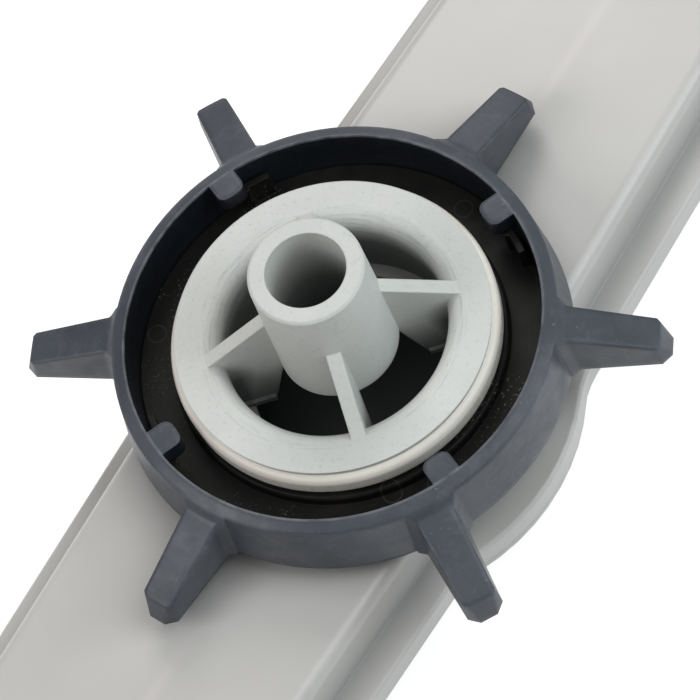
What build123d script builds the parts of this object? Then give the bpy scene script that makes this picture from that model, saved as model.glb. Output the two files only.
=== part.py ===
from build123d import *
from math import radians, tan
import os

# Dishwasher spray arm, lying on its nozzle side with its hub upwards.
# Millimetres, +Z up, origin on the hub's axis in the resting face, arm along X.

# Arm in plan
arm_length = 460.0
arm_half_width = 25.3
arm_taper = 0.031
arm_end_corner = 15.0
arm_waist_radius = 300.0
bulge_reach = 3.25
bulge_blend = 12.0

# Arm in section, hub side
wall = 2.0
duct_margin = 4.1
duct_draft = 3.5
duct_edge_fillet = 2.0
arm_top = 17.7
flange_top = 10.6
flange_thickness = 2.0
flange_edge_chamfer = 0.35
skirt_height = 3.6
skirt_wall = 1.5

# Arm in section, nozzle side
seam_clearance = 0.1
lip_gap = 0.25
lip_height = 1.0
lip_inset = 0.9
lip_bulge_inset = 0.15
belly_inset = 2.4
belly_draft = 22.0
belly_edge_chamfer = 1.2
nozzle_first = 62.0
nozzle_pitch = 44.0
nozzle_count = 4
nozzle_offset = 6.0
nozzle_turn = 30.0
nozzle_slot_length = 6.0
nozzle_slot_width = 1.8
nozzle_flare_depth = 0.8
nozzle_flare_draft = 40.0

# Hub
hub_rim_height = 11.7
hub_rim_overhang = 3.3
hub_rim_thickness = 1.0
hub_rim_undercut = 0.2
hub_mouth_fillet = 2.3
hub_throat_radius = 14.3
hub_throat_draft = 3.0
hub_neck_wall = 2.7
hub_seat_depth = 0.8
hub_ledge = 1.0
tube_bore_radius = 5.1
tube_top_wall = 2.22
tube_foot_wall = 2.65
tube_above_rim = 14.8
tube_below_rim = 4.4
tube_edge = 0.3
rib_count = 4
rib_phase = 45.0
rib_thickness = 1.9
rib_above_rim = 6.3
rib_land = 0.2
rib_foot_reach = 2.45
rib_foot_slant = 19.0
rib_step_width = 0.4
rib_step_height = 1.0

# Collar of the arm that holds the hub's foot and carries the turning parts
collar_clearance = 0.08
collar_wall = 2.4
collar_height = 3.1

# Slide ring under the rim
slide_ring_overhang = 0.8
slide_ring_height = 3.7
slide_ring_shoulder = 0.9
slide_ring_belly = 0.3
slide_ring_clearance = 0.25

# Bearing plate
axial_play = 0.3
plate_clearance = 0.45
plate_thickness = 1.7
plate_collar_step = 0.5
plate_collar_edge = 0.3
plate_edge_clearance = 0.1
post_width = 0.85
post_length_angle = 9.0
post_lead_angle = 3.4
post_tab_gap = 0.25
post_wall_gap = 0.6
nub_radius = 0.5

# Locking ring
ring_turn = -1.9
ring_height = 8.8
ring_channel_width = 5.5
ring_bore_draft = 1.5
ring_foot_wall = 2.8
ring_draft = 7.2
ring_top_slope = 25.0
ring_seat_width = 0.2
ring_lip_width = 0.8
ring_lip_thickness = 0.9
tab_count = 4
tab_phase = 67.5
tab_width = 3.8
tab_reach = 3.3
tab_thickness = 2.75
tab_crown = 0.25
tab_corner = 1.2
wing_count = 6
wing_length = 12.3
wing_root_half_width = 2.95
wing_tip_half_width = 2.35
wing_draft = 4.0
wing_root_chamfer = 0.9
wing_tip_chamfer = 1.2
wing_ramp_width = 0.9
wing_ramp_slope = 46.0
wing_top_slope = 17.7
wing_nose_width = 1.2
wing_nose_slope = 70.0

# Heights and radii that follow
bulge_radius = arm_half_width + bulge_reach
seam_height = flange_top - flange_thickness
skirt_foot = flange_top - skirt_height
lip_top = skirt_foot - lip_gap
lip_foot = lip_top - lip_height
duct_roof = arm_top - wall
hub_foot = arm_top - hub_seat_depth
rim_top = arm_top + hub_rim_height
rim_foot = rim_top - hub_rim_thickness
hub_neck_radius = hub_throat_radius + hub_neck_wall
hub_rim_radius = hub_neck_radius + hub_rim_overhang
hub_opening_radius = hub_throat_radius - hub_ledge
tube_top = rim_top + tube_above_rim
tube_foot = rim_top - tube_below_rim
tube_top_radius = tube_bore_radius + tube_top_wall
tube_foot_radius = tube_bore_radius + tube_foot_wall
rib_foot_radius = tube_foot_radius + rib_foot_reach
collar_radius = hub_neck_radius + collar_clearance + collar_wall
slide_ring_radius = hub_rim_radius + slide_ring_overhang
plate_collar_radius = slide_ring_radius + plate_collar_step
ring_bore_radius = slide_ring_radius + ring_channel_width
ring_foot_radius = ring_bore_radius + ring_foot_wall
wing_tip_radius = ring_foot_radius + wing_length
collar_top = arm_top + collar_height
ring_foot = collar_top + axial_play
ring_top = ring_foot + ring_height
plate_floor = ring_foot + plate_thickness
slide_ring_foot = rim_foot - slide_ring_height
plate_collar_top = slide_ring_foot - axial_play
lip_shelf = ring_foot + ring_lip_thickness
shelf_radius = ring_bore_radius - (ring_top - lip_shelf) * tan(radians(ring_bore_draft))
plate_radius = shelf_radius - plate_edge_clearance
past = 1.0


# Building blocks
def slab(plan, low, high, draft=0.0):
    return extrude(Pos(0, 0, low) * plan, high - low, taper=draft)


def disc(radius, low, high):
    return Pos(0, 0, low) * Cylinder(radius, high - low, align=(Align.CENTER, Align.CENTER, Align.MIN))


def profile(*points):
    return Plane.XZ * make_face(Polyline(*points, close=True))


def around(count, phase, copies):
    return [Rot(0, 0, phase + 360.0 / count * index) * copies for index in range(count)]


# Arm seen from above: a bar that tapers both ways, with a round bulge at the hub
def bar_plan(inset):
    half_length = arm_length / 2 - inset
    middle = arm_half_width - inset
    tip = middle - arm_taper * half_length
    points = [(-half_length, -tip), (0, -middle), (half_length, -tip)]
    points += [(half_length, tip), (0, middle), (-half_length, tip)]
    bar = make_face(Polyline(*points, close=True))
    bar = fillet(bar.vertices().filter_by(lambda corner: abs(corner.X) > past), arm_end_corner - inset)
    return fillet(bar.vertices().filter_by(lambda corner: abs(corner.X) < past), arm_waist_radius)


def arm_plan(inset, bulge_inset):
    plan = bar_plan(inset) + Circle(bulge_radius - bulge_inset)
    meets = plan.vertices().filter_by(lambda corner: abs(corner.X) < bulge_radius)
    return fillet(meets, bulge_blend + bulge_inset)


# Hub-side shell: flange with a downturned skirt, duct with rounded edges, collar for the hub
def arm_hub_side_shell():
    flange = slab(arm_plan(0, 0), skirt_foot, flange_top)
    flange = chamfer(flange.faces().sort_by(Axis.Z)[-1].edges(), flange_edge_chamfer)
    flange -= slab(arm_plan(skirt_wall, skirt_wall), skirt_foot - past, seam_height)
    duct = slab(bar_plan(duct_margin), seam_height, arm_top, duct_draft)
    duct = fillet(duct.faces().sort_by(Axis.Z)[-1].edges(), duct_edge_fillet)
    shell = flange + duct
    shell -= slab(bar_plan(duct_margin + wall), seam_height - past, duct_roof, duct_draft)
    shell += disc(collar_radius, duct_roof, collar_top)
    shell -= disc(hub_neck_radius + collar_clearance, hub_foot, collar_top + past)
    shell -= disc(hub_opening_radius, duct_roof - past, collar_top + past)
    return shell


# Nozzle-side shell: rim plate inside the skirt, showing lip, belly and flared slot nozzles
def nozzles():
    flare_width = nozzle_flare_depth * tan(radians(nozzle_flare_draft))
    slot = Rectangle(nozzle_slot_length, nozzle_slot_width)
    mouth = Rectangle(nozzle_slot_length + 2 * flare_width, nozzle_slot_width + 2 * flare_width)
    flare = loft([mouth, Pos(0, 0, nozzle_flare_depth) * slot], ruled=True)
    jet = Rot(0, 0, nozzle_turn) * (flare + slab(slot, nozzle_flare_depth, wall + past))
    row = [Pos(nozzle_first + nozzle_pitch * place, nozzle_offset, 0) * jet for place in range(nozzle_count)]
    return row + [Rot(0, 0, 180) * jet for jet in row]


def arm_nozzle_side_shell():
    plate_inset = skirt_wall + seam_clearance
    shell = slab(arm_plan(plate_inset, plate_inset), lip_foot, seam_height)
    shell += slab(arm_plan(lip_inset, lip_bulge_inset), lip_foot, lip_top)
    belly = extrude(Pos(0, 0, lip_foot) * arm_plan(belly_inset, belly_inset), -lip_foot, taper=belly_draft)
    belly = chamfer(belly.faces().sort_by(Axis.Z)[0].edges(), belly_edge_chamfer)
    shell += belly
    depth = seam_height - wall
    shell -= extrude(Pos(0, 0, seam_height) * bar_plan(duct_margin + wall), -depth, taper=duct_draft)
    for jet in nozzles():
        shell -= jet
    return shell


# Hub: wide rim, funnel mouth, central tube and ribs
def hub_body():
    throat_foot_radius = hub_throat_radius + (rim_top - hub_foot) * tan(radians(hub_throat_draft))
    section = profile(
        (hub_neck_radius, hub_foot),
        (hub_neck_radius, rim_foot),
        (hub_rim_radius - hub_rim_undercut, rim_foot),
        (hub_rim_radius, rim_top),
        (hub_throat_radius, rim_top),
        (throat_foot_radius, hub_foot),
    )
    mouth = section.vertices().sort_by_distance((hub_throat_radius, 0, rim_top))[0]
    return revolve(fillet(mouth, hub_mouth_fillet), Axis.Z)


def hub_tube():
    section = profile(
        (tube_bore_radius, tube_foot),
        (tube_foot_radius, tube_foot),
        (tube_top_radius, tube_top - tube_edge),
        (tube_top_radius - tube_edge, tube_top),
        (tube_bore_radius, tube_top),
    )
    return revolve(section, Axis.Z)


def hub_rib():
    root = (tube_bore_radius + tube_top_radius) / 2
    end = hub_throat_radius + hub_mouth_fillet - rib_land
    slope = rib_above_rim / (end - tube_top_radius)
    throat_foot = rib_foot_radius - (tube_foot - hub_foot) * tan(radians(rib_foot_slant))
    section = profile(
        (root, tube_foot),
        (throat_foot, tube_foot),
        (rib_foot_radius, hub_foot),
        (end, hub_foot),
        (end, rim_top),
        (root, rim_top + slope * (end - root)),
    )
    step = profile(
        (rib_foot_radius, hub_foot),
        (end, hub_foot),
        (end, hub_foot + rib_step_height),
        (rib_foot_radius, hub_foot + rib_step_height),
    )
    return extrude(section, rib_thickness / 2, both=True) + extrude(step, rib_thickness / 2 + rib_step_width, both=True)


def hub():
    return hub_body() + hub_tube() + around(rib_count, rib_phase, hub_rib())


# Slide ring: plain washer on the hub's neck, against the rim
def slide_ring():
    bore = hub_neck_radius + slide_ring_clearance
    shoulder = slide_ring_radius - slide_ring_shoulder
    side = slide_ring_radius - slide_ring_belly
    section = profile(
        (bore, slide_ring_foot),
        (shoulder, slide_ring_foot),
        (side, slide_ring_foot + slide_ring_belly),
        (slide_ring_radius, slide_ring_foot + slide_ring_shoulder),
        (slide_ring_radius, rim_foot - slide_ring_shoulder),
        (side, rim_foot - slide_ring_belly),
        (shoulder, rim_foot),
        (bore, rim_foot),
    )
    return revolve(section, Axis.Z)


# Bearing plate: disc that turns on the hub's neck, with a raised collar and a post beside each tab
def post():
    outer = ring_bore_radius - (ring_top - plate_floor) * tan(radians(ring_bore_draft)) - post_wall_gap
    post_root = (lip_shelf + plate_floor) / 2
    top = ring_top - tab_thickness - post_tab_gap
    section = profile(
        (outer - post_width, post_root),
        (outer, post_root),
        (outer, top),
        (outer - post_width, top),
    )
    start = -post_lead_angle - post_length_angle
    wall_piece = Rot(0, 0, start) * revolve(section, Axis.Z, revolution_arc=post_length_angle)
    nub = Pos(outer - post_width, -nub_radius, 0) * disc(nub_radius, plate_floor, top)
    return wall_piece + Rot(0, 0, -post_lead_angle) * nub


def bearing_plate():
    bore = hub_neck_radius + plate_clearance
    rebate = shelf_radius - ring_lip_width - plate_edge_clearance
    section = profile(
        (bore, ring_foot),
        (rebate, ring_foot),
        (rebate, lip_shelf),
        (plate_radius, lip_shelf),
        (plate_radius, plate_floor),
        (plate_collar_radius, plate_floor),
        (plate_collar_radius, plate_collar_top - plate_collar_edge),
        (plate_collar_radius - plate_collar_edge, plate_collar_top),
        (bore, plate_collar_top),
    )
    return revolve(section, Axis.Z) + around(tab_count, tab_phase + ring_turn, post())


# Locking ring: drafted ring with wing bars outside and bayonet tabs inside
def ring_radius(z):
    return ring_foot_radius - (z - ring_foot) * tan(radians(ring_draft))


def wing_plan(z):
    narrowing = (wing_root_half_width - wing_tip_half_width) / wing_length
    inset = (z - ring_foot) * tan(radians(wing_draft))
    wall_radius = ring_radius(z)
    root = wall_radius + wing_root_chamfer
    tip = wing_tip_radius - (z - ring_foot) * tan(radians(ring_draft))
    root_half = wing_root_half_width - inset
    tip_half = wing_tip_half_width - inset
    side = [
        (ring_bore_radius + ring_seat_width, root_half + wing_root_chamfer),
        (wall_radius, root_half + wing_root_chamfer),
        (root, root_half - narrowing * wing_root_chamfer),
        (tip - wing_tip_chamfer, tip_half + narrowing * wing_tip_chamfer),
        (tip, tip_half - wing_tip_chamfer),
    ]
    mirrored = [(x, -y) for x, y in reversed(side)]
    return Pos(0, 0, z) * make_face(Polyline(*side, *mirrored, close=True))


def ring_tops():
    slope = tan(radians(ring_top_slope))
    crease_drop = (ring_radius(ring_top) - ring_bore_radius) / (1 / slope - tan(radians(ring_draft)))
    crease = ring_bore_radius + crease_drop / slope
    shoulder = crease + wing_ramp_width
    shoulder_z = ring_top - crease_drop - wing_ramp_width * tan(radians(wing_ramp_slope))
    nose = wing_tip_radius - wing_nose_width
    nose_z = shoulder_z - (nose - shoulder) * tan(radians(wing_top_slope))
    outside = wing_tip_radius + past
    section = profile(
        (ring_bore_radius - past, ring_top + past * slope),
        (crease, ring_top - crease_drop),
        (shoulder, shoulder_z),
        (nose, nose_z),
        (outside, nose_z - (outside - nose) * tan(radians(wing_nose_slope))),
        (outside, ring_top + 2 * past),
        (ring_bore_radius - past, ring_top + 2 * past),
    )
    return revolve(section, Axis.Z)


def tab_plan():
    tip = ring_bore_radius - tab_reach
    root = ring_bore_radius + (ring_radius(ring_top) - ring_bore_radius) / 3
    half = tab_width / 2
    crown = ThreePointArc((tip + tab_crown, -half), (tip, 0), (tip + tab_crown, half))
    sides = Polyline((tip + tab_crown, half), (root, half), (root, -half), (tip + tab_crown, -half))
    plan = make_face(crown + sides)
    return fillet(plan.vertices().filter_by(lambda corner: corner.X < ring_bore_radius), tab_corner)


def locking_ring():
    lip_radius = shelf_radius - ring_lip_width
    section = profile(
        (lip_radius, ring_foot),
        (ring_foot_radius, ring_foot),
        (ring_radius(ring_top), ring_top),
        (ring_bore_radius, ring_top),
        (shelf_radius, lip_shelf),
        (lip_radius, lip_shelf),
    )
    ring = revolve(section, Axis.Z)
    ring += around(wing_count, 0, loft([wing_plan(ring_foot), wing_plan(ring_top)], ruled=True))
    ring += around(tab_count, tab_phase, slab(tab_plan(), ring_top - tab_thickness, ring_top))
    return Rot(0, 0, ring_turn) * (ring - ring_tops())


parts = {
    "arm_hub_side_shell": arm_hub_side_shell(),
    "arm_nozzle_side_shell": arm_nozzle_side_shell(),
    "hub": hub(),
    "slide_ring": slide_ring(),
    "bearing_plate": bearing_plate(),
    "locking_ring": locking_ring(),
}

os.makedirs("parts", exist_ok=True)
for name, solid in parts.items():
    export_step(solid, f"parts/{name}.step")
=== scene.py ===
from math import cos, radians, sin

import bpy
from mathutils import Matrix, Vector


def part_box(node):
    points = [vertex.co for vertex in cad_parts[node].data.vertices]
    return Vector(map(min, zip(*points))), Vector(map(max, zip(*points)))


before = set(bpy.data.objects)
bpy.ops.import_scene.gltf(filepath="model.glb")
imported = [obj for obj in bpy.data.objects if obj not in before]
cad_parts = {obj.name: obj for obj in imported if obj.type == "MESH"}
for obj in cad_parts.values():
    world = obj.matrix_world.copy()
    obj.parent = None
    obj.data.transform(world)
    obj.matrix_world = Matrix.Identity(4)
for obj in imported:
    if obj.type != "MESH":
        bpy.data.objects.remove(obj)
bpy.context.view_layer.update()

MM = 0.001

# The photograph's view, with angles in degrees: where the camera stands and where the hub lies in the picture
IMAGE_SIZE = 700.0
SENSOR = 36.0
LENS = 192.5
NEAR_CLIP = 0.01
CAMERA_AZIMUTH = -124.44
CAMERA_ELEVATION = 60.99
CAMERA_ROLL = -25.70
CAMERA_DISTANCE = 0.46595
HUB_PIXEL = (331.9, 325.5)
AIM_BELOW_TUBE_TOP = 15.1 * MM
AIM_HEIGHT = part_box("hub")[1][2] - AIM_BELOW_TUBE_TOP


def direction(azimuth, elevation):
    """The unit vector that points from the origin to an azimuth and elevation in degrees."""
    azimuth = radians(azimuth)
    elevation = radians(elevation)
    return Vector((cos(elevation) * cos(azimuth), cos(elevation) * sin(azimuth), sin(elevation)))


def make_camera():
    azimuth = radians(CAMERA_AZIMUTH)
    roll = radians(CAMERA_ROLL)
    towards = direction(CAMERA_AZIMUTH, CAMERA_ELEVATION)
    level = Vector((-sin(azimuth), cos(azimuth), 0.0))
    steep = towards.cross(level)
    image_right = cos(roll) * level + sin(roll) * steep
    image_up = -sin(roll) * level + cos(roll) * steep
    metres_per_pixel = CAMERA_DISTANCE * SENSOR / (LENS * IMAGE_SIZE)
    shift_right = (HUB_PIXEL[0] - IMAGE_SIZE / 2) * metres_per_pixel
    shift_down = (HUB_PIXEL[1] - IMAGE_SIZE / 2) * metres_per_pixel
    place = Vector((0.0, 0.0, AIM_HEIGHT)) + CAMERA_DISTANCE * towards
    place += shift_down * image_up - shift_right * image_right
    turn = Matrix((image_right, image_up, towards)).transposed().to_4x4()
    data = bpy.data.cameras.new("camera")
    data.lens = LENS
    data.sensor_width = SENSOR
    data.clip_start = NEAR_CLIP
    camera = bpy.data.objects.new("camera", data)
    camera.matrix_world = Matrix.Translation(place) @ turn
    bpy.context.scene.collection.objects.link(camera)
    bpy.context.scene.camera = camera


# Node helpers
MIX_FIRST_COLOUR = 6
MIX_SECOND_COLOUR = 7
MIX_RESULT_COLOUR = 2
BEVEL_SAMPLES = 6
WIDE_BEVEL_SAMPLES = 8
CREASE_SHADE_SAMPLES = 16
EDGE_RANGE = (0.02, 0.25)
CREASE_SHADE_RANGE = (0.4, 0.95)
CLOUD_RANGE = (0.3, 0.7)


def srgb(red, green, blue):
    """A colour for a node, from red, green and blue between 0 and 255."""
    def linear(value):
        value = value / 255.0
        return value / 12.92 if value <= 0.04045 else ((value + 0.055) / 1.055) ** 2.4
    return (linear(red), linear(green), linear(blue), 1.0)


class Nodes:
    """A material's node tree, with short calls for the nodes that these materials share."""

    def __init__(self, name):
        self.material = bpy.data.materials.new(name)
        self.material.use_nodes = True
        self.tree = self.material.node_tree
        self.shader = self.tree.nodes["Principled BSDF"]
        self.output = self.tree.nodes["Material Output"]
        self.place = self.add("ShaderNodeTexCoord").outputs["Object"]
        split = self.add("ShaderNodeSeparateXYZ", {"Vector": self.place}).outputs
        self.x, self.y, self.z = split["X"], split["Y"], split["Z"]

    def add(self, kind, inputs=None, **settings):
        node = self.tree.nodes.new(kind)
        for name, value in settings.items():
            setattr(node, name, value)
        for name, value in (inputs or {}).items():
            self.put(node.inputs[name], value)
        return node

    def put(self, socket, value):
        if isinstance(value, bpy.types.NodeSocket):
            self.tree.links.new(value, socket)
        else:
            socket.default_value = value

    def math(self, operation, first, second=0.0, third=0.0):
        node = self.add("ShaderNodeMath", operation=operation)
        for socket, value in zip(node.inputs, (first, second, third)):
            self.put(socket, value)
        return node.outputs[0]

    def all_of(self, *masks):
        result = masks[0]
        for mask in masks[1:]:
            result = self.math("MULTIPLY", result, mask)
        return result

    def any_of(self, *masks):
        result = masks[0]
        for mask in masks[1:]:
            result = self.math("MAXIMUM", result, mask)
        return result

    def below(self, value, limit):
        return self.math("LESS_THAN", value, limit)

    def above(self, value, limit):
        return self.math("GREATER_THAN", value, limit)

    def ramp(self, value, low, high, to_low=0.0, to_high=1.0):
        inputs = {"Value": value, "From Min": low, "From Max": high, "To Min": to_low, "To Max": to_high}
        return self.add("ShaderNodeMapRange", inputs).outputs["Result"]

    def noise(self, scale, detail, where=None, roughness=0.5):
        inputs = {"Vector": where or self.place, "Scale": scale, "Detail": detail, "Roughness": roughness}
        return self.add("ShaderNodeTexNoise", inputs).outputs["Fac"]

    def cloud(self, scale, detail, to_low=0.0, to_high=1.0):
        """Soft patches that run from one value to another."""
        return self.ramp(self.noise(scale, detail), *CLOUD_RANGE, to_low, to_high)

    def radius(self, x=0.0, y=0.0):
        """How far a point is from an upright axis, by default the hub's."""
        dx = self.math("SUBTRACT", self.x, x)
        dy = self.math("SUBTRACT", self.y, y)
        squares = self.math("ADD", self.math("MULTIPLY", dx, dx), self.math("MULTIPLY", dy, dy))
        return self.math("SQRT", squares)

    def turned(self, across, along, detail, roughness):
        """Noise drawn out round the hub, by its fineness across and along the streaks."""
        inputs = {
            "X": self.math("MULTIPLY", self.radius(), across),
            "Y": self.math("MULTIPLY", self.math("ARCTAN2", self.y, self.x), along),
            "Z": self.math("MULTIPLY", self.z, across),
        }
        where = self.add("ShaderNodeCombineXYZ", inputs).outputs["Vector"]
        return self.noise(1.0, detail, where, roughness)

    def upward(self):
        """How far a face looks up: 1 on a top, 0 on a wall, -1 on an underside."""
        normal = self.add("ShaderNodeNewGeometry").outputs["True Normal"]
        return self.add("ShaderNodeSeparateXYZ", {"Vector": normal}).outputs["Z"]

    def rounding(self, radius, samples=BEVEL_SAMPLES):
        return self.add("ShaderNodeBevel", {"Radius": radius}, samples=samples).outputs["Normal"]

    def edge(self, radius):
        """A mask along edges, where the rounded normal leaves the face's own."""
        product = self.add("ShaderNodeVectorMath", operation="DOT_PRODUCT")
        self.put(product.inputs[0], self.rounding(radius))
        self.put(product.inputs[1], self.add("ShaderNodeNewGeometry").outputs["Normal"])
        return self.ramp(self.math("SUBTRACT", 1.0, product.outputs["Value"]), *EDGE_RANGE)

    def crease_shade(self, reach):
        """A mask for painted shade in corners and narrow places, by how much stands round a point within a
        reach.
        """
        occlusion = self.add("ShaderNodeAmbientOcclusion", {"Distance": reach}, samples=CREASE_SHADE_SAMPLES)
        return self.ramp(occlusion.outputs["AO"], *CREASE_SHADE_RANGE, 1.0, 0.0)

    def blend(self, amount, first, second):
        """A mix of two colours. Its sockets go by number, because a Mix node gives several the same name."""
        node = self.add("ShaderNodeMix", data_type="RGBA")
        self.put(node.inputs["Factor"], amount)
        self.put(node.inputs[MIX_FIRST_COLOUR], first)
        self.put(node.inputs[MIX_SECOND_COLOUR], second)
        return node.outputs[MIX_RESULT_COLOUR]

    def tint(self, colour, mask, share, tone):
        """The colour, taken towards a tone by a share where the mask is full."""
        return self.blend(self.math("MULTIPLY", mask, share), colour, tone)

    def bump(self, height, strength, depth, under):
        inputs = {"Height": height, "Strength": strength, "Distance": depth, "Normal": under}
        return self.add("ShaderNodeBump", inputs).outputs["Normal"]

    def finish(self, colour, roughness, normal):
        self.put(self.shader.inputs["Base Color"], colour)
        self.put(self.shader.inputs["Roughness"], roughness)
        self.put(self.shader.inputs["Normal"], normal)
        return self.material


# In the materials' values a noise is its scale per metre and its detail. Streaks are their fineness across
# and along, their detail and their roughness. A bump is its strength and its depth.

# Arm: satin grey plastic with a faint pale painted highlight along its middle, painted shade in creases and
# inside the duct
ARM_TONES = (srgb(198, 195, 192), srgb(204, 201, 198))
ARM_CLOUD = (60.0, 4.0)
ARM_GLOSS = (90.0, 3.0)
ARM_ROUGHNESS = (0.28, 0.32)
ARM_GRAIN = (4000.0, 2.0)
ARM_BUMP = (0.1, 0.02 * MM)
ARM_ROUNDING = 0.5 * MM
MIDDLE_HIGHLIGHT_SIDE = 1.9 * MM
MIDDLE_HIGHLIGHT_EDGES = (1.3 * MM, 0.2 * MM)
MIDDLE_HIGHLIGHT_START = (38.0 * MM, 46.0 * MM)
MIDDLE_HIGHLIGHT_SHARE = 0.5
MIDDLE_HIGHLIGHT_TONE = srgb(214, 206, 203)
ARM_CREASE_SHADE_REACH = 6.0 * MM
ARM_CREASE_SHADE_SHARE = 0.55
ARM_CREASE_SHADE_TONE = srgb(118, 122, 122)
DUCT_TOP = 15.75 * MM
DUCT_FLOOR = 1.5 * MM
DUCT_HALF_WIDTH = 19.6 * MM
DUCT_TAPER = 0.031
DUCT_HALF_LENGTH = 205.0 * MM
DUCT_SHADE_TONE = srgb(62, 66, 66)


def arm_plastic():
    nodes = Nodes("arm_plastic")
    colour = nodes.blend(nodes.cloud(*ARM_CLOUD), *ARM_TONES)
    far_along = nodes.math("ABSOLUTE", nodes.x)
    # Painted highlight: a pale band along the arm's middle, from about 40 mm out from the hub, where a soft
    # ridge would catch the light
    off_middle_highlight = nodes.math("ABSOLUTE", nodes.math("ADD", nodes.y, MIDDLE_HIGHLIGHT_SIDE))
    middle_highlight = nodes.all_of(
        nodes.ramp(off_middle_highlight, *MIDDLE_HIGHLIGHT_EDGES),
        nodes.ramp(far_along, *MIDDLE_HIGHLIGHT_START, 0.0, MIDDLE_HIGHLIGHT_SHARE),
    )
    colour = nodes.blend(middle_highlight, colour, MIDDLE_HIGHLIGHT_TONE)
    # Painted shade in creases and corners
    colour = nodes.tint(colour, nodes.crease_shade(ARM_CREASE_SHADE_REACH), ARM_CREASE_SHADE_SHARE, ARM_CREASE_SHADE_TONE)
    # Painted shade: the inside of the duct is coloured dark
    half_width = nodes.math("MULTIPLY_ADD", far_along, -DUCT_TAPER, DUCT_HALF_WIDTH)
    duct_shade = nodes.all_of(
        nodes.below(nodes.math("ABSOLUTE", nodes.y), half_width),
        nodes.below(nodes.z, DUCT_TOP),
        nodes.above(nodes.z, DUCT_FLOOR),
        nodes.below(far_along, DUCT_HALF_LENGTH),
    )
    colour = nodes.blend(duct_shade, colour, DUCT_SHADE_TONE)
    roughness = nodes.cloud(*ARM_GLOSS, *ARM_ROUGHNESS)
    normal = nodes.bump(nodes.noise(*ARM_GRAIN), *ARM_BUMP, nodes.rounding(ARM_ROUNDING))
    return nodes.finish(colour, roughness, normal)


# Hub: pale grey-green plastic with turning marks in its mouth, painted shade deep in its bore, throat and
# funnel, and painted highlights on its edges
HUB_TONES = (srgb(208, 209, 205), srgb(215, 216, 212))
HUB_CLOUD = (140.0, 4.0)
HUB_GLOSS = (700.0, 3.0)
HUB_ROUGHNESS = (0.42, 0.52)
HUB_SPECULAR = 0.3
HUB_GRAIN = (2600.0, 2.0)
HUB_BUMP = (0.3, 0.04 * MM)
HUB_ROUNDING = 0.3 * MM
MOUTH_INNER = (12.8 * MM, 13.3 * MM)
MOUTH_OUTER = (17.3 * MM, 17.0 * MM)
RIB_SIDE = (1.35 * MM, 1.5 * MM)
TURNING_STREAKS = (2600.0, 2.0, 4.0, 0.7)
TURNING_RANGE = (0.52, 0.68)
TURNING_SHARE = 0.6
TURNING_TONE = srgb(174, 180, 177)
TURNING_BUMP = (0.7, 0.08 * MM)
MOTTLE_NOISE = (1500.0, 3.0)
MOTTLE_RANGE = (0.55, 0.75)
MOTTLE_SHARE = 0.3
MOTTLE_TONE = srgb(176, 182, 178)
HUB_SPECKS = (2200.0, 2.0)
HUB_SPECK_RANGE = (0.68, 0.76)
HUB_SPECK_SHARE = 0.5
HUB_SPECK_TONE = srgb(160, 166, 162)
BORE_WALL = 5.2 * MM
BORE_SHADE = (43.0 * MM, 33.0 * MM)
BORE_SHARE = 0.75
THROAT_WALL = 14.2 * MM
THROAT_SHADE = (25.0 * MM, 18.0 * MM)
THROAT_SHARE = 0.7
FUNNEL_WALL = 15.7 * MM
FUNNEL_FOOT = (11.0 * MM, 13.5 * MM)
FUNNEL_SHADE = (29.2 * MM, 24.0 * MM)
FUNNEL_SHARE = 0.8
DEPTH_SHADE_TONE = srgb(56, 63, 63)
HUB_EDGE_HIGHLIGHT_WIDTH = 0.25 * MM
HUB_EDGE_HIGHLIGHT_SHARE = 0.5
HUB_EDGE_HIGHLIGHT_TONE = srgb(228, 231, 228)


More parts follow.
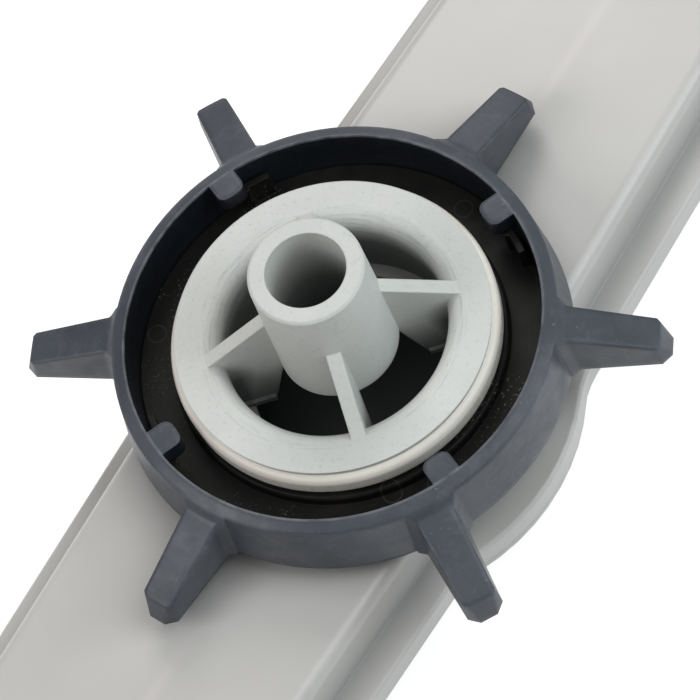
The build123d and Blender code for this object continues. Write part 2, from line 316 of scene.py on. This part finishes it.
def hub_plastic():
    nodes = Nodes("hub_plastic")
    radius = nodes.radius()
    colour = nodes.blend(nodes.cloud(*HUB_CLOUD), *HUB_TONES)
    # The ribs stand on the diagonals, where x and y are the same size, and have no turning marks
    off_diagonal = nodes.math("SUBTRACT", nodes.math("ABSOLUTE", nodes.x), nodes.math("ABSOLUTE", nodes.y))
    mouth = nodes.all_of(
        nodes.ramp(radius, *MOUTH_INNER),
        nodes.ramp(radius, *MOUTH_OUTER),
        nodes.ramp(nodes.math("ABSOLUTE", off_diagonal), *RIB_SIDE),
    )
    streaks = nodes.turned(*TURNING_STREAKS)
    marks = nodes.all_of(mouth, nodes.ramp(streaks, *TURNING_RANGE))
    colour = nodes.tint(colour, marks, TURNING_SHARE, TURNING_TONE)
    mottle = nodes.ramp(nodes.noise(*MOTTLE_NOISE), *MOTTLE_RANGE, 0.0, MOTTLE_SHARE)
    colour = nodes.blend(mottle, colour, MOTTLE_TONE)
    specks = nodes.ramp(nodes.noise(*HUB_SPECKS), *HUB_SPECK_RANGE, 0.0, HUB_SPECK_SHARE)
    colour = nodes.blend(specks, colour, HUB_SPECK_TONE)
    # Painted shade: darker with depth in the bore, the throat and the funnel
    bore_shade = nodes.all_of(
        nodes.below(radius, BORE_WALL),
        nodes.ramp(nodes.z, *BORE_SHADE, 0.0, BORE_SHARE),
    )
    throat_shade = nodes.all_of(
        nodes.below(radius, THROAT_WALL),
        nodes.ramp(nodes.z, *THROAT_SHADE, 0.0, THROAT_SHARE),
    )
    funnel_shade = nodes.all_of(
        nodes.below(radius, FUNNEL_WALL),
        nodes.ramp(radius, *FUNNEL_FOOT),
        nodes.ramp(nodes.z, *FUNNEL_SHADE, 0.0, FUNNEL_SHARE),
    )
    colour = nodes.blend(nodes.any_of(bore_shade, throat_shade, funnel_shade), colour, DEPTH_SHADE_TONE)
    # Painted highlight along the edges
    colour = nodes.tint(colour, nodes.edge(HUB_EDGE_HIGHLIGHT_WIDTH), HUB_EDGE_HIGHLIGHT_SHARE, HUB_EDGE_HIGHLIGHT_TONE)
    roughness = nodes.cloud(*HUB_GLOSS, *HUB_ROUGHNESS)
    nodes.shader.inputs["Specular IOR Level"].default_value = HUB_SPECULAR
    grain = nodes.bump(nodes.noise(*HUB_GRAIN), *HUB_BUMP, nodes.rounding(HUB_ROUNDING))
    normal = nodes.bump(nodes.all_of(mouth, streaks), *TURNING_BUMP, grain)
    return nodes.finish(colour, roughness, normal)


# Slide ring: smooth cream plastic
SLIDE_TONES = (srgb(242, 235, 224), srgb(247, 241, 232))
SLIDE_STREAKS = (900.0, 3.0, 3.0, 0.5)
SLIDE_GLOSS = (600.0, 3.0)
SLIDE_ROUGHNESS = (0.24, 0.34)
SLIDE_BUMP = (0.05, 0.02 * MM)
SLIDE_ROUNDING = 0.8 * MM


def slide_plastic():
    nodes = Nodes("slide_plastic")
    streaks = nodes.turned(*SLIDE_STREAKS)
    colour = nodes.blend(nodes.ramp(streaks, *CLOUD_RANGE), *SLIDE_TONES)
    roughness = nodes.cloud(*SLIDE_GLOSS, *SLIDE_ROUGHNESS)
    normal = nodes.bump(streaks, *SLIDE_BUMP, nodes.rounding(SLIDE_ROUNDING, WIDE_BEVEL_SAMPLES))
    return nodes.finish(colour, roughness, normal)


# Bearing plate: brownish black plastic with turning scratches, patches of dust and round pin marks
PLATE_TONES = (srgb(14, 14, 13), srgb(25, 23, 20))
PLATE_CLOUD = (220.0, 5.0)
PLATE_CLOUD_RANGE = (0.35, 0.65)
PLATE_ROUGHNESS = (0.42, 0.56)
PLATE_SPECULAR = 0.3
PLATE_GRAIN = (2000.0, 3.0)
PLATE_BUMP = (0.3, 0.05 * MM)
PLATE_ROUNDING = 0.25 * MM
SCRATCH_STREAKS = (5200.0, 1.6, 4.0, 0.75)
SCRATCH_RANGE = (0.62, 0.72)
SCRATCH_SHARE = 0.45
SCRATCH_TONE = srgb(78, 72, 62)
DUST_NOISE = (2800.0, 3.0)
DUST_RANGE = (0.62, 0.69)
DUST_PATCHES = (70.0, 3.0)
DUST_PATCH_RANGE = (0.5, 0.62)
DUST_SHARE = 0.6
DUST_TONE = srgb(150, 150, 144)
PIN_PLACES = ((23.74 * MM, -3.44 * MM), (-9.28 * MM, 22.79 * MM), (-14.07 * MM, -16.55 * MM))
PIN_RADIUS = 1.2 * MM
PIN_LINE = (0.05 * MM, 0.12 * MM)
PIN_SHARE = 0.5
PIN_TONE = srgb(70, 68, 62)


def plate_plastic():
    nodes = Nodes("plate_plastic")
    cloud = nodes.ramp(nodes.noise(*PLATE_CLOUD), *PLATE_CLOUD_RANGE)
    colour = nodes.blend(cloud, *PLATE_TONES)
    scratches = nodes.ramp(nodes.turned(*SCRATCH_STREAKS), *SCRATCH_RANGE, 0.0, SCRATCH_SHARE)
    colour = nodes.blend(scratches, colour, SCRATCH_TONE)
    dust = nodes.all_of(
        nodes.ramp(nodes.noise(*DUST_NOISE), *DUST_RANGE),
        nodes.ramp(nodes.noise(*DUST_PATCHES), *DUST_PATCH_RANGE),
    )
    colour = nodes.tint(colour, dust, DUST_SHARE, DUST_TONE)
    outlines = []
    for x, y in PIN_PLACES:
        off_line = nodes.math("ABSOLUTE", nodes.math("SUBTRACT", nodes.radius(x, y), PIN_RADIUS))
        outlines.append(nodes.ramp(off_line, *PIN_LINE, 1.0, 0.0))
    outline = nodes.any_of(*outlines)
    colour = nodes.tint(colour, outline, PIN_SHARE, PIN_TONE)
    roughness = nodes.ramp(cloud, 0.0, 1.0, *PLATE_ROUGHNESS)
    nodes.shader.inputs["Specular IOR Level"].default_value = PLATE_SPECULAR
    height = nodes.math("SUBTRACT", nodes.noise(*PLATE_GRAIN), outline)
    normal = nodes.bump(height, *PLATE_BUMP, nodes.rounding(PLATE_ROUNDING))
    return nodes.finish(colour, roughness, normal)


# Locking ring: rubbed blue-grey plastic with specks, painted shade on its channel walls and in creases, pale
# on worn edges
RING_TONES = (srgb(57, 62, 70), srgb(73, 78, 86))
RING_CLOUD = (110.0, 5.0)
RING_GLOSS = (420.0, 4.0)
RING_ROUGHNESS = (0.36, 0.5)
RING_GRAIN = (1500.0, 3.0)
RING_BUMP = (0.35, 0.05 * MM)
RING_ROUNDING = 0.9 * MM
RUBBED_STREAKS = (420.0, 9.0, 5.0, 0.7)
RUBBED_RANGE = (0.5, 0.75)
RUBBED_SHARE = 0.45
RUBBED_TONE = srgb(98, 100, 107)
RING_SPECKS = (1900.0, 2.0)
RING_SPECK_RANGE = (0.7, 0.76)
RING_SPECK_SHARE = 0.55
RING_SPECK_TONE = srgb(122, 124, 130)
WEAR_WIDTH = 0.35 * MM
WEAR_NOISE = (300.0, 4.0)
WEAR_RANGE = (0.38, 0.6)
WEAR_SHARES = (0.1, 0.5)
WEAR_TONE = srgb(126, 128, 137)
RING_BORE = 26.63 * MM
WALL_SLOPE = (0.5, 0.4)
CHANNEL_SHADE_TONE = srgb(14, 20, 28)
BRIM_HEIGHT = 29.5 * MM
BRIM_INNER = RING_BORE - 0.15 * MM
BRIM_OUTER = (RING_BORE + 0.3 * MM, RING_BORE + 0.15 * MM)
BRIM_NOISE = (500.0, 3.0)
BRIM_RANGE = (0.35, 0.6)
BRIM_SHARES = (0.1, 0.6)
BRIM_TONE = srgb(124, 127, 134)
RING_CREASE_SHADE_REACH = 5.0 * MM
RING_CREASE_SHADE_SHARE = 0.7
RING_CREASE_SHADE_TONE = srgb(30, 35, 42)


def ring_plastic():
    nodes = Nodes("ring_plastic")
    radius = nodes.radius()
    colour = nodes.blend(nodes.cloud(*RING_CLOUD), *RING_TONES)
    rubbed = nodes.ramp(nodes.turned(*RUBBED_STREAKS), *RUBBED_RANGE, 0.0, RUBBED_SHARE)
    colour = nodes.blend(rubbed, colour, RUBBED_TONE)
    specks = nodes.ramp(nodes.noise(*RING_SPECKS), *RING_SPECK_RANGE, 0.0, RING_SPECK_SHARE)
    colour = nodes.blend(specks, colour, RING_SPECK_TONE)
    wear = nodes.all_of(
        nodes.edge(WEAR_WIDTH),
        nodes.ramp(nodes.noise(*WEAR_NOISE), *WEAR_RANGE, *WEAR_SHARES),
    )
    colour = nodes.blend(wear, colour, WEAR_TONE)
    # Painted shade on the upright walls inside the ring's bore
    channel_shade = nodes.all_of(
        nodes.ramp(nodes.math("ABSOLUTE", nodes.upward()), *WALL_SLOPE),
        nodes.below(radius, RING_BORE),
    )
    colour = nodes.blend(channel_shade, colour, CHANNEL_SHADE_TONE)
    brim = nodes.all_of(
        nodes.ramp(radius, *BRIM_OUTER),
        nodes.above(radius, BRIM_INNER),
        nodes.above(nodes.z, BRIM_HEIGHT),
        nodes.ramp(nodes.noise(*BRIM_NOISE), *BRIM_RANGE, *BRIM_SHARES),
    )
    colour = nodes.blend(brim, colour, BRIM_TONE)
    # Painted shade in creases and corners
    colour = nodes.tint(colour, nodes.crease_shade(RING_CREASE_SHADE_REACH), RING_CREASE_SHADE_SHARE, RING_CREASE_SHADE_TONE)
    roughness = nodes.cloud(*RING_GLOSS, *RING_ROUGHNESS)
    rounding = nodes.rounding(RING_ROUNDING, WIDE_BEVEL_SAMPLES)
    normal = nodes.bump(nodes.noise(*RING_GRAIN), *RING_BUMP, rounding)
    return nodes.finish(colour, roughness, normal)


def paint(node, material):
    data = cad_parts[node].data
    data.materials.clear()
    data.materials.append(material)


# Studio: a pale floor that looks white to the camera and in gloss, a dim world and five soft lights
FLOOR_SIZE = 6.0
FLOOR_GAP = 0.05 * MM
FLOOR_COLOUR = (0.6, 0.6, 0.6, 1.0)
FLOOR_ROUGHNESS = 0.9
FLOOR_GLOW = 0.72
WHITE = (1.0, 1.0, 1.0, 1.0)
WORLD_COLOUR = (0.97, 0.99, 1.0, 1.0)
WORLD_STRENGTH = 0.26
LIGHT_DISTANCE = 0.5
LIGHT_SIZE = 0.24
# Each light's name, azimuth, elevation, power and colour
LIGHTS = (
    ("back_right", 38.0, 45.0, 0.66, (1.0, 0.98, 0.96)),
    ("back_left", 150.0, 45.0, 0.74, (1.0, 0.99, 0.98)),
    ("side", -60.0, 30.0, 0.7, (0.86, 0.97, 1.0)),
    ("top", -66.0, 60.0, 0.5, (0.96, 1.0, 1.0)),
    ("front", -135.0, 62.0, 0.12, (0.96, 1.0, 1.0)),
)


def make_world():
    world = bpy.data.worlds.new("studio")
    world.use_nodes = True
    background = world.node_tree.nodes["Background"]
    background.inputs["Color"].default_value = WORLD_COLOUR
    background.inputs["Strength"].default_value = WORLD_STRENGTH
    bpy.context.scene.world = world


def make_floor():
    bpy.ops.mesh.primitive_plane_add(size=FLOOR_SIZE, location=(0.0, 0.0, -FLOOR_GAP))
    floor = bpy.context.object
    floor.name = "floor"
    nodes = Nodes("floor_white")
    nodes.shader.inputs["Base Color"].default_value = FLOOR_COLOUR
    nodes.shader.inputs["Roughness"].default_value = FLOOR_ROUGHNESS
    light_path = nodes.add("ShaderNodeLightPath")
    seen = nodes.any_of(
        light_path.outputs["Is Camera Ray"],
        light_path.outputs["Is Glossy Ray"],
        light_path.outputs["Is Transmission Ray"],
    )
    strength = nodes.math("MULTIPLY", seen, FLOOR_GLOW)
    glow = nodes.add("ShaderNodeEmission", {"Color": WHITE, "Strength": strength})
    both = nodes.add("ShaderNodeAddShader")
    nodes.put(both.inputs[0], nodes.shader.outputs[0])
    nodes.put(both.inputs[1], glow.outputs[0])
    nodes.put(nodes.output.inputs["Surface"], both.outputs[0])
    floor.data.materials.append(nodes.material)


def make_light(name, azimuth, elevation, power, colour):
    data = bpy.data.lights.new(name, "AREA")
    data.shape = "RECTANGLE"
    data.size = LIGHT_SIZE
    data.size_y = LIGHT_SIZE
    data.energy = power
    data.color = colour
    light = bpy.data.objects.new(name, data)
    place = direction(azimuth, elevation) * LIGHT_DISTANCE
    light.matrix_world = Matrix.Translation(place) @ place.to_track_quat("Z", "Y").to_matrix().to_4x4()
    bpy.context.scene.collection.objects.link(light)


make_camera()
make_world()
make_floor()
for light in LIGHTS:
    make_light(*light)
bpy.context.scene.view_settings.view_transform = "Standard"

arm_material = arm_plastic()
paint("arm_hub_side_shell", arm_material)
paint("arm_nozzle_side_shell", arm_material)
paint("hub", hub_plastic())
paint("slide_ring", slide_plastic())
paint("bearing_plate", plate_plastic())
paint("locking_ring", ring_plastic())
